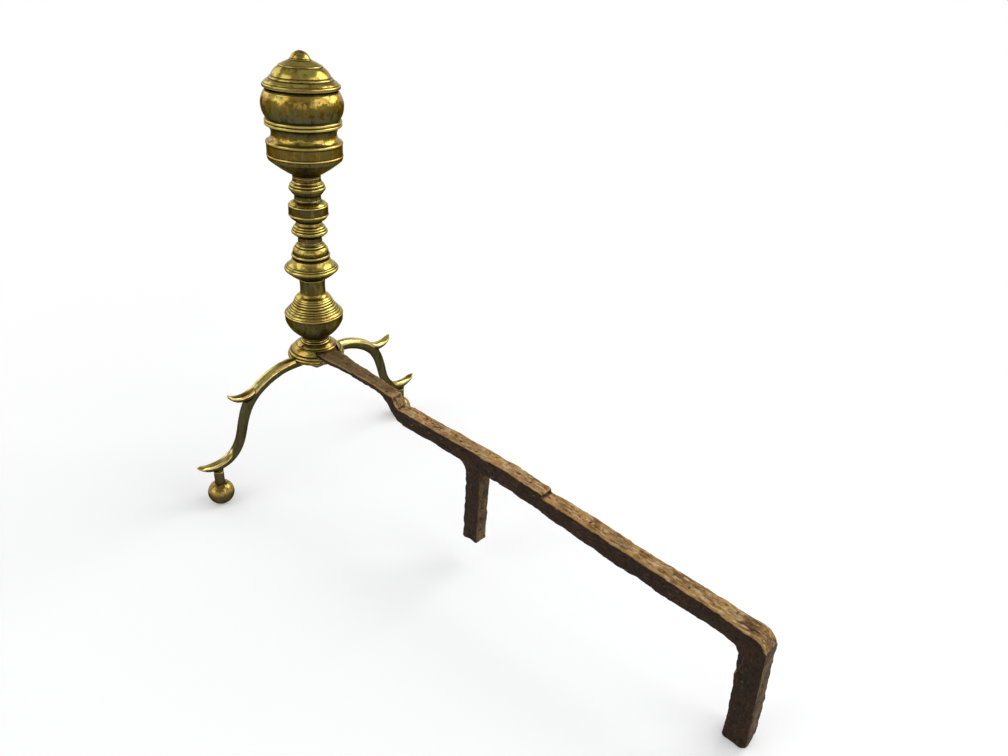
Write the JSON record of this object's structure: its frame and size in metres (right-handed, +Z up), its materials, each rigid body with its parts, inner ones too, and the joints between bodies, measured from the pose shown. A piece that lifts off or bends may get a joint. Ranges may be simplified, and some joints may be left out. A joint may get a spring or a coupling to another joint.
{
  "type": "andiron",
  "caption": "Turned brass andiron post on two arched spurred legs with ball feet, with a forged iron billet bar that runs back to a bent rear leg.",
  "frame": {"origin": "middle of the andiron's footprint on the hearth, at the level of the ball feet and the rear leg's foot", "axes": "+Z up along the post, +Y from the brass front to the rear leg along the iron bar, +X towards the right leg as seen from behind the bar looking at the post"},
  "size_m": [0.3576, 0.6954, 0.529],
  "materials": {
    "brass": "turned cast brass, polished, with dark tarnish in the grooves",
    "leg_brass": "filed and polished cast brass",
    "foot_brass": "turned brass, mottled brown",
    "wrought_iron": "hammered wrought iron, brown rust and scale",
    "iron_fastening": "plain dark iron"
  },
  "bodies": {
    "root": {"finial_cap": "brass", "finial_ball": "brass", "finial_cup": "brass", "upper_collar": "brass", "knop_drum": "brass", "lower_collar": "brass", "bell_flare": "brass", "vase_bowl": "brass", "plinth": "brass", "tie_rod": "iron_fastening", "rod_washer": "iron_fastening", "rod_nut": "iron_fastening", "leg_right": "leg_brass", "leg_left": "leg_brass", "foot_right": "foot_brass", "foot_left": "foot_brass", "foot_studs": "iron_fastening", "bar_front": "wrought_iron", "bar_rear": "wrought_iron", "mid_leg": "wrought_iron"}
  },
  "joints": []
}
